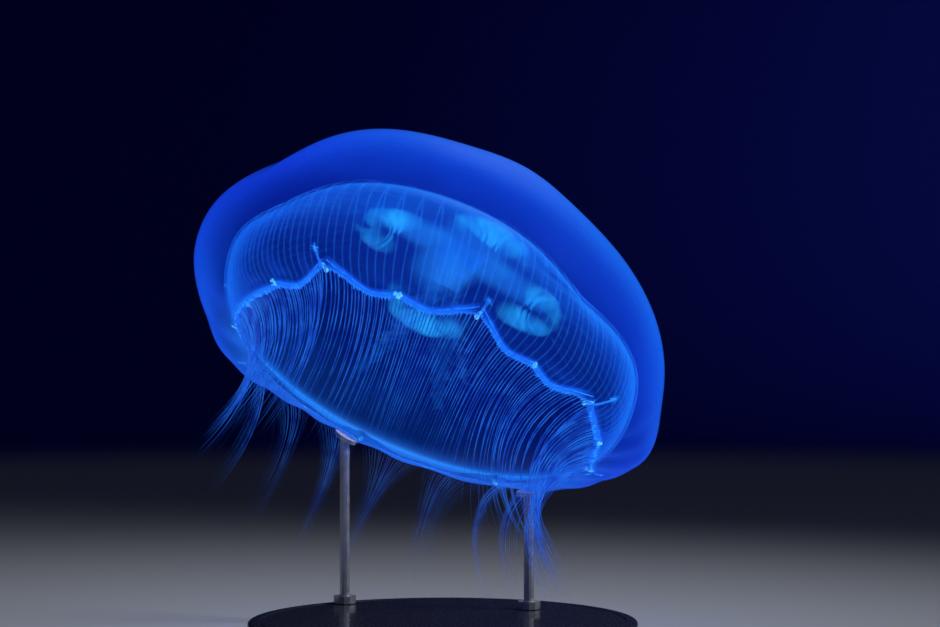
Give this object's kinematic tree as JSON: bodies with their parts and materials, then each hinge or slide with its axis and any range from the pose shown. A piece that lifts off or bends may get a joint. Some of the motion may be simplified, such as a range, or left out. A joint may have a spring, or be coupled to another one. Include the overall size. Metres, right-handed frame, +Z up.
{
  "type": "moon jellyfish display model",
  "caption": "Still life-size moon jellyfish near the end of a swimming stroke, its bell banked over a fringe of tentacles and held by rods on a round base.",
  "frame": {"origin": "centre of the flat underside of the stand's base", "axes": "+Z up, +X to the viewer's right and +Y away from the front; the bell's opening faces -Y and down, its apex leans back and to +X"},
  "size_m": [0.1749, 0.178, 0.1906],
  "materials": {
    "jelly": "wet translucent blue jelly, clear at the middle and denser along its edges",
    "margin": "thin milky blue skin with a fringe of fine tentacles",
    "sense_organ": "pale cyan, dense and wet",
    "gonad": "milky azure frilled bands seen through the jelly",
    "oral_arm": "thin ruffled azure skin",
    "stand": "dark satin acrylic with a polished edge",
    "rod": "slim brushed steel"
  },
  "bodies": {
    "root": {"bell": "jelly", "margin_lobe_1": "margin", "margin_lobe_2": "margin", "margin_lobe_3": "margin", "margin_lobe_4": "margin", "margin_lobe_5": "margin", "margin_lobe_6": "margin", "margin_lobe_7": "margin", "margin_lobe_8": "margin", "rhopalium_1": "sense_organ", "rhopalium_2": "sense_organ", "rhopalium_3": "sense_organ", "rhopalium_4": "sense_organ", "rhopalium_5": "sense_organ", "rhopalium_6": "sense_organ", "rhopalium_7": "sense_organ", "rhopalium_8": "sense_organ", "gonad_1": "gonad", "gonad_2": "gonad", "gonad_3": "gonad", "gonad_4": "gonad", "manubrium": "oral_arm", "oral_arm_1": "oral_arm", "oral_arm_2": "oral_arm", "oral_arm_3": "oral_arm", "oral_arm_4": "oral_arm", "stand_base": "stand", "stand_rod_left": "rod", "stand_rod_right": "rod"}
  },
  "joints": []
}
